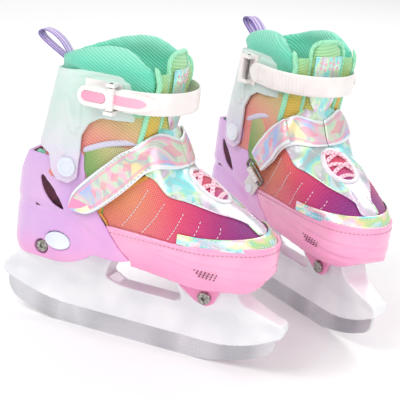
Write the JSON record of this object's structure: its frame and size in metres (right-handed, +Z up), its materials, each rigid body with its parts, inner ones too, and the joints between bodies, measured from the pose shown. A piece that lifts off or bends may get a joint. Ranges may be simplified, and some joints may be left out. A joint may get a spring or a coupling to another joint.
{
  "type": "pair of ice skates",
  "caption": "Adjustable soft-boot ice skates on white holders with steel runners, with hinged cuffs, a buckled ankle strap and an instep strap.",
  "frame": {"origin": "centre of the pair's box, on the floor under the blades", "axes": "+X is the way the right skate points, +Y from the right skate towards the left one, +Z up"},
  "size_m": [0.3472, 0.321, 0.277],
  "materials": {
    "blade_steel": "polished runner steel",
    "holder_white": "gloss white moulding",
    "shell_pink": "gloss pink moulding",
    "shell_lilac": "gloss lilac to pink moulding",
    "bolt_steel": "bright plated",
    "insole_foam": "foam footbed with a knit top",
    "mesh_sunset": "mesh fading from peach to purple",
    "holo_film": "iridescent coated trim",
    "lace_pink": "braided lace",
    "liner_mint": "padded ribbed knit",
    "tongue_green": "padded ribbed knit",
    "webbing_white": "woven webbing",
    "pin_steel": "dark steel",
    "trim_white": "gloss white moulding",
    "strap_holo": "iridescent coated strap with a stitched border",
    "cuff_frosted": "frosted moulding fading to lilac",
    "ribbon_purple": "striped ribbon",
    "strap_ivory": "satin ivory moulding",
    "tab_pink": "gloss pink moulding"
  },
  "bodies": {
    "right_base": {"right_blade": "blade_steel", "right_blade_holder": "holder_white", "right_toe_shell": "shell_pink", "right_front_bolt": "bolt_steel", "right_front_nut": "bolt_steel", "right_insole": "insole_foam", "right_vamp": "mesh_sunset", "right_vamp_overlays": "holo_film", "right_laces": "lace_pink"},
    "right_heel": {"right_rear_shell": "shell_lilac", "right_rear_bolt": "bolt_steel", "right_rear_nut": "bolt_steel", "right_heel_liner": "liner_mint", "right_button_spring": "pin_steel", "right_tongue": "tongue_green", "right_instep_strap": "strap_holo", "right_strap_webbing": "webbing_white", "right_strap_ring": "pin_steel", "right_shell_rivets": "trim_white"},
    "right_button": {"right_size_button": "trim_white"},
    "right_flap": {"right_strap_flap": "strap_holo"},
    "right_cuff": {"right_cuff": "cuff_frosted", "right_collar": "liner_mint", "right_pull_loop": "ribbon_purple", "right_strap_anchor": "strap_ivory", "right_strap_pins": "pin_steel", "right_buckle_base": "strap_ivory"},
    "right_lever": {"right_buckle_lever": "strap_ivory"},
    "right_tab": {"right_release_tab": "tab_pink"},
    "right_ankle": {"right_cuff_strap": "strap_ivory"},
    "left_base": {"left_blade": "blade_steel", "left_blade_holder": "holder_white", "left_toe_shell": "shell_pink", "left_front_bolt": "bolt_steel", "left_front_nut": "bolt_steel", "left_insole": "insole_foam", "left_vamp": "mesh_sunset", "left_vamp_overlays": "holo_film", "left_laces": "lace_pink"},
    "left_heel": {"left_rear_shell": "shell_lilac", "left_rear_bolt": "bolt_steel", "left_rear_nut": "bolt_steel", "left_heel_liner": "liner_mint", "left_button_spring": "pin_steel", "left_tongue": "tongue_green", "left_instep_strap": "strap_holo", "left_strap_webbing": "webbing_white", "left_strap_ring": "pin_steel", "left_shell_rivets": "trim_white"},
    "left_button": {"left_size_button": "trim_white"},
    "left_flap": {"left_strap_flap": "strap_holo"},
    "left_cuff": {"left_cuff": "cuff_frosted", "left_collar": "liner_mint", "left_pull_loop": "ribbon_purple", "left_strap_anchor": "strap_ivory", "left_strap_pins": "pin_steel", "left_buckle_base": "strap_ivory"},
    "left_lever": {"left_buckle_lever": "strap_ivory"},
    "left_tab": {"left_release_tab": "tab_pink"},
    "left_ankle": {"left_cuff_strap": "strap_ivory"}
  },
  "joints": [
    {"name": "right_size_slide", "type": "slide", "parent": "right_base", "child": "right_heel", "axis": [-1, 0, 0], "range_m": [0, 0.018]},
    {"name": "right_size_button_press", "type": "slide", "parent": "right_heel", "child": "right_button", "axis": [0, 1, 0], "range_m": [0, 0.0015], "stiffness_N_per_m": 400, "springref_m": -0.002},
    {"name": "right_cuff_flex", "type": "hinge", "parent": "right_heel", "child": "right_cuff", "pos_m": [-0.09945, -0.10471, 0.165], "axis": [0, 1, 0], "range_deg": [-2, 10]},
    {"name": "right_cuff_strap_swing", "type": "hinge", "parent": "right_cuff", "child": "right_ankle", "pos_m": [-0.08345, -0.05781, 0.235], "axis": [0, 0, 1], "range_deg": [0, 60]},
    {"name": "right_buckle_lever_open", "type": "hinge", "parent": "right_cuff", "child": "right_lever", "pos_m": [-0.06045, -0.1563, 0.235], "axis": [0, 0, 1], "range_deg": [0, 80]},
    {"name": "right_release_tab_press", "type": "slide", "parent": "right_lever", "child": "right_tab", "axis": [0, 1, 0], "range_m": [0, 0.0012], "stiffness_N_per_m": 500, "springref_m": -0.001},
    {"name": "right_strap_flap_peel", "type": "hinge", "parent": "right_heel", "child": "right_flap", "pos_m": [-0.00735, -0.10471, 0.1901], "axis": [-0.5584, 0, 0.8296], "range_deg": [0, 75]},
    {"name": "left_size_slide", "type": "slide", "parent": "left_base", "child": "left_heel", "axis": [-0.8192, 0.5736, 0], "range_m": [0, 0.018]},
    {"name": "left_size_button_press", "type": "slide", "parent": "left_heel", "child": "left_button", "axis": [-0.5736, -0.8192, 0], "range_m": [0, 0.0015], "stiffness_N_per_m": 400, "springref_m": -0.002},
    {"name": "left_cuff_flex", "type": "hinge", "parent": "left_heel", "child": "left_cuff", "pos_m": [0.00003, 0.11087, 0.165], "axis": [0.5736, 0.8192, 0], "range_deg": [-2, 10]},
    {"name": "left_cuff_strap_swing", "type": "hinge", "parent": "left_cuff", "child": "left_ankle", "pos_m": [-0.01377, 0.06328, 0.235], "axis": [0, 0, -1], "range_deg": [0, 60]},
    {"name": "left_buckle_lever_open", "type": "hinge", "parent": "left_cuff", "child": "left_lever", "pos_m": [0.06157, 0.13077, 0.235], "axis": [0, 0, -1], "range_deg": [0, 80]},
    {"name": "left_release_tab_press", "type": "slide", "parent": "left_lever", "child": "left_tab", "axis": [-0.5736, -0.8192, 0], "range_m": [0, 0.0012], "stiffness_N_per_m": 500, "springref_m": -0.001},
    {"name": "left_strap_flap_peel", "type": "hinge", "parent": "left_heel", "child": "left_flap", "pos_m": [0.07547, 0.05804, 0.1901], "axis": [0.4574, -0.3203, -0.8296], "range_deg": [0, 75]},
    {"name": "left_skate_lift", "type": "slide", "parent": "right_base", "child": "left_base", "axis": [0, 0, 1], "range_m": [0, 0.25]}
  ]
}
